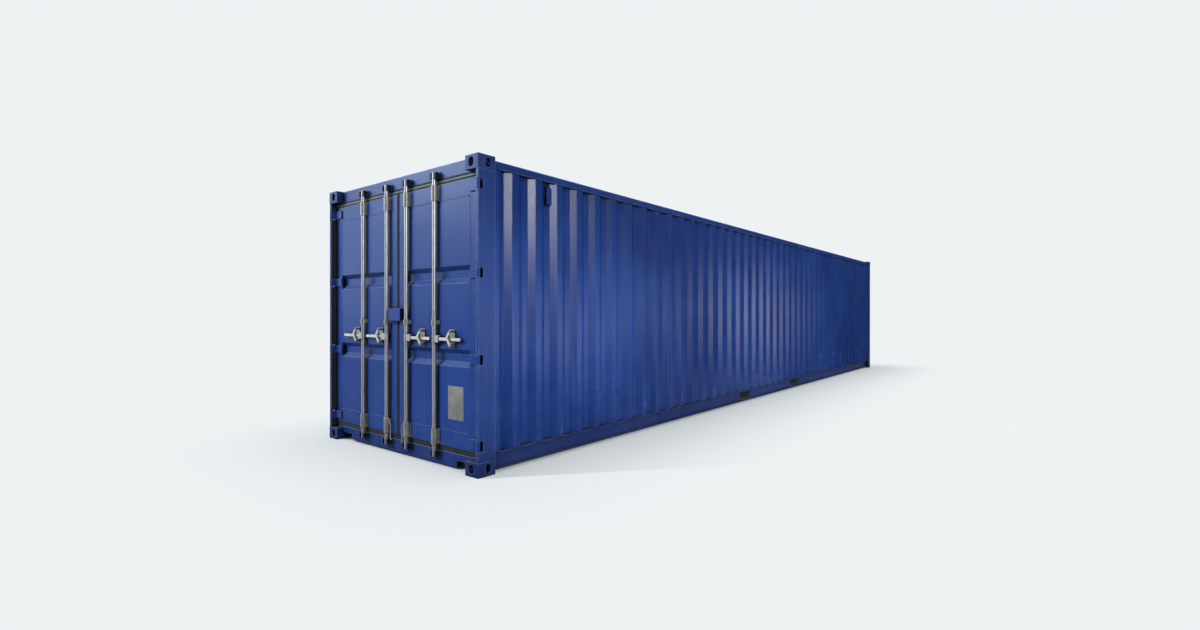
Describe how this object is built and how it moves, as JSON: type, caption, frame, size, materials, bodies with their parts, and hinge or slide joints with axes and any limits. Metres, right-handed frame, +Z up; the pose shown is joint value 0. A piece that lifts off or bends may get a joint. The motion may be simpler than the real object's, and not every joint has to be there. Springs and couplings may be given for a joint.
{
  "type": "shipping container",
  "caption": "Steel freight box with corrugated walls and roof, hollow corner castings, and two hinged end doors closed by turning lock bars with handles.",
  "frame": {"origin": "bottom centre of the container, under its corner fittings on the ground", "axes": "+Z up, +Y from the door end to the closed end, +X to the right of someone who faces the doors"},
  "size_m": [2.438, 12.192, 2.591],
  "materials": {
    "frame_paint": "semi-gloss blue paint on thick steel",
    "wall_paint": "semi-gloss blue paint on pressed sheet",
    "door_paint": "semi-gloss blue paint on the doors",
    "underside_coat": "dull dark underside coating",
    "floor_wood": "worn plywood boards",
    "keeper_steel": "dark painted forged steel",
    "galvanised": "dull galvanised steel",
    "seal_rubber": "dusty black rubber",
    "plate_metal": "blank etched plate"
  },
  "bodies": {
    "root": {"corner_fittings_bottom": "frame_paint", "corner_fittings_top": "frame_paint", "rear_post_right": "frame_paint", "rear_post_left": "frame_paint", "front_posts": "frame_paint", "door_header": "frame_paint", "door_sill": "frame_paint", "front_header": "frame_paint", "front_sill": "frame_paint", "top_rail_right": "frame_paint", "top_rail_left": "frame_paint", "bottom_rail_right": "frame_paint", "bottom_rail_left": "frame_paint", "side_wall_right": "wall_paint", "side_wall_left": "wall_paint", "front_wall": "wall_paint", "roof_panel": "wall_paint", "ventilators": "wall_paint", "cross_members": "underside_coat", "fork_pockets": "underside_coat", "gooseneck_tunnel": "underside_coat", "floor_boards": "floor_wood", "cam_keepers": "keeper_steel"},
    "door_right": {"door_right_frame": "door_paint", "door_right_panel": "door_paint", "door_right_gasket": "seal_rubber", "door_right_hinges": "door_paint", "door_right_guides": "galvanised", "door_right_catches": "galvanised", "tieback_right": "galvanised", "lock_box": "door_paint", "data_plate": "plate_metal"},
    "door_left": {"door_left_frame": "door_paint", "door_left_panel": "door_paint", "door_left_gasket": "seal_rubber", "door_left_hinges": "door_paint", "door_left_guides": "galvanised", "door_left_catches": "galvanised", "tieback_left": "galvanised", "lock_staple": "door_paint"},
    "bar_1": {"lock_bar_1": "galvanised"},
    "lever_1": {"handle_1": "galvanised"},
    "hasp_1": {"hasp_1": "galvanised"},
    "bar_2": {"lock_bar_2": "galvanised"},
    "lever_2": {"handle_2": "galvanised"},
    "hasp_2": {"hasp_2": "galvanised"},
    "bar_3": {"lock_bar_3": "galvanised"},
    "lever_3": {"handle_3": "galvanised"},
    "hasp_3": {"hasp_3": "galvanised"},
    "bar_4": {"lock_bar_4": "galvanised"},
    "lever_4": {"handle_4": "galvanised"},
    "hasp_4": {"hasp_4": "galvanised"}
  },
  "joints": [
    {"name": "door_right_swing", "type": "hinge", "parent": "root", "child": "door_right", "pos_m": [1.205, -6.082, 1.3], "axis": [0, 0, 1], "range_deg": [0, 265]},
    {"name": "door_left_swing", "type": "hinge", "parent": "root", "child": "door_left", "pos_m": [-1.205, -6.082, 1.3], "axis": [0, 0, -1], "range_deg": [0, 265]},
    {"name": "bar_1_turn", "type": "hinge", "parent": "door_left", "child": "bar_1", "pos_m": [-0.591, -6.064, 1.3], "axis": [0, 0, -1], "range_deg": [-110, 0]},
    {"name": "handle_1_lift", "type": "hinge", "parent": "bar_1", "child": "lever_1", "pos_m": [-0.643, -6.064, 1.095], "axis": [0, 1, 0], "range_deg": [0, 10]},
    {"name": "hasp_1_swing", "type": "hinge", "parent": "door_left", "child": "hasp_1", "pos_m": [-0.699, -6.0865, 1.163], "axis": [0, 1, 0], "range_deg": [0, 80]},
    {"name": "bar_2_turn", "type": "hinge", "parent": "door_left", "child": "bar_2", "pos_m": [-0.164, -6.064, 1.3], "axis": [0, 0, -1], "range_deg": [-110, 0]},
    {"name": "handle_2_lift", "type": "hinge", "parent": "bar_2", "child": "lever_2", "pos_m": [-0.216, -6.064, 1.095], "axis": [0, 1, 0], "range_deg": [0, 10]},
    {"name": "hasp_2_swing", "type": "hinge", "parent": "door_left", "child": "hasp_2", "pos_m": [-0.272, -6.0865, 1.163], "axis": [0, 1, 0], "range_deg": [0, 80]},
    {"name": "bar_3_turn", "type": "hinge", "parent": "door_right", "child": "bar_3", "pos_m": [0.164, -6.064, 1.3], "axis": [0, 0, 1], "range_deg": [-110, 0]},
    {"name": "handle_3_lift", "type": "hinge", "parent": "bar_3", "child": "lever_3", "pos_m": [0.216, -6.064, 1.095], "axis": [0, -1, 0], "range_deg": [0, 10]},
    {"name": "hasp_3_swing", "type": "hinge", "parent": "door_right", "child": "hasp_3", "pos_m": [0.412, -6.0865, 1.163], "axis": [0, -1, 0], "range_deg": [0, 80]},
    {"name": "bar_4_turn", "type": "hinge", "parent": "door_right", "child": "bar_4", "pos_m": [0.591, -6.064, 1.3], "axis": [0, 0, 1], "range_deg": [-110, 0]},
    {"name": "handle_4_lift", "type": "hinge", "parent": "bar_4", "child": "lever_4", "pos_m": [0.643, -6.064, 1.095], "axis": [0, -1, 0], "range_deg": [0, 10]},
    {"name": "hasp_4_swing", "type": "hinge", "parent": "door_right", "child": "hasp_4", "pos_m": [0.839, -6.0865, 1.163], "axis": [0, -1, 0], "range_deg": [0, 80]}
  ]
}
